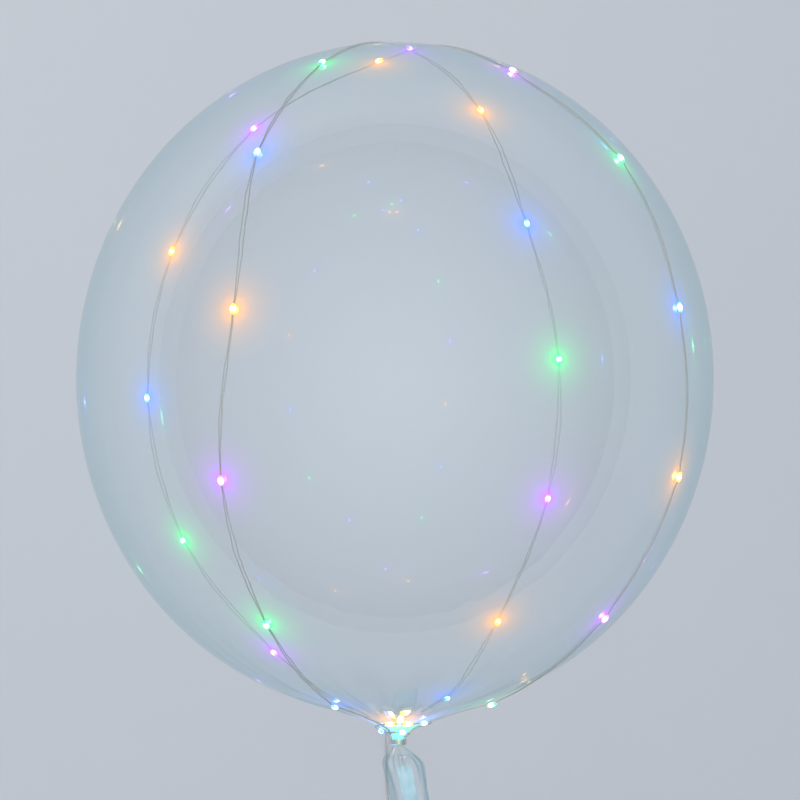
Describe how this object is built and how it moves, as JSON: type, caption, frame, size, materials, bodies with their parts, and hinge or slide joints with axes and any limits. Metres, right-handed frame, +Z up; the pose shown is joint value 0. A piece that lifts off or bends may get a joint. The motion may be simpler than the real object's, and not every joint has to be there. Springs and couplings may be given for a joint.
{
  "type": "clear bubble balloon with micro lights",
  "caption": "Clear film bubble balloon, lying on its side, wound with a string of coloured micro lights on fine wire; knotted neck, open tail sleeve and a small battery case on a lead.",
  "frame": {"origin": "on the floor that the balloon lies on, under the middle of the balloon's own box, without the lead, coil and battery case", "axes": "+Z is up, +Y runs along the balloon's axis from the tied neck to the crown, +X completes a right-handed frame"},
  "size_m": [0.4496, 0.6383, 0.4482],
  "materials": {
    "film": "clear thin stretched plastic film, glossy, see-through",
    "valve_film": "doubled translucent film of the self-sealing valve",
    "wire": "fine lacquered copper wire, silvery gold",
    "light_blue": "clear resin drop lit blue",
    "light_green": "clear resin drop lit green",
    "light_purple": "clear resin drop lit purple",
    "light_amber": "clear resin drop lit amber",
    "case_plastic": "moulded white plastic, satin",
    "switch_plastic": "black plastic slide knob"
  },
  "bodies": {
    "root": {"bubble": "film", "tail_sleeve": "film", "valve_strip": "valve_film", "wire_wraps": "wire", "wire_loop_a": "wire", "wire_loop_b": "wire", "light_01": "light_blue", "light_02": "light_green", "light_03": "light_purple", "light_04": "light_amber", "light_05": "light_blue", "light_06": "light_green", "light_07": "light_purple", "light_08": "light_amber", "light_09": "light_blue", "light_10": "light_green", "light_11": "light_purple", "light_12": "light_amber", "light_13": "light_blue", "light_14": "light_green", "light_15": "light_purple", "light_16": "light_amber", "light_17": "light_blue", "light_18": "light_green", "light_19": "light_purple", "light_20": "light_amber", "light_21": "light_purple", "light_22": "light_amber", "light_23": "light_blue", "light_24": "light_green", "light_25": "light_purple", "light_26": "light_amber", "light_27": "light_amber", "light_28": "light_blue", "light_29": "light_green", "light_30": "light_blue", "lead_wire": "wire", "lead_coil": "wire", "lead_wire_end": "wire", "lead_gland": "case_plastic", "battery_case": "case_plastic", "battery_lid": "case_plastic", "battery_switch": "switch_plastic"}
  },
  "joints": []
}
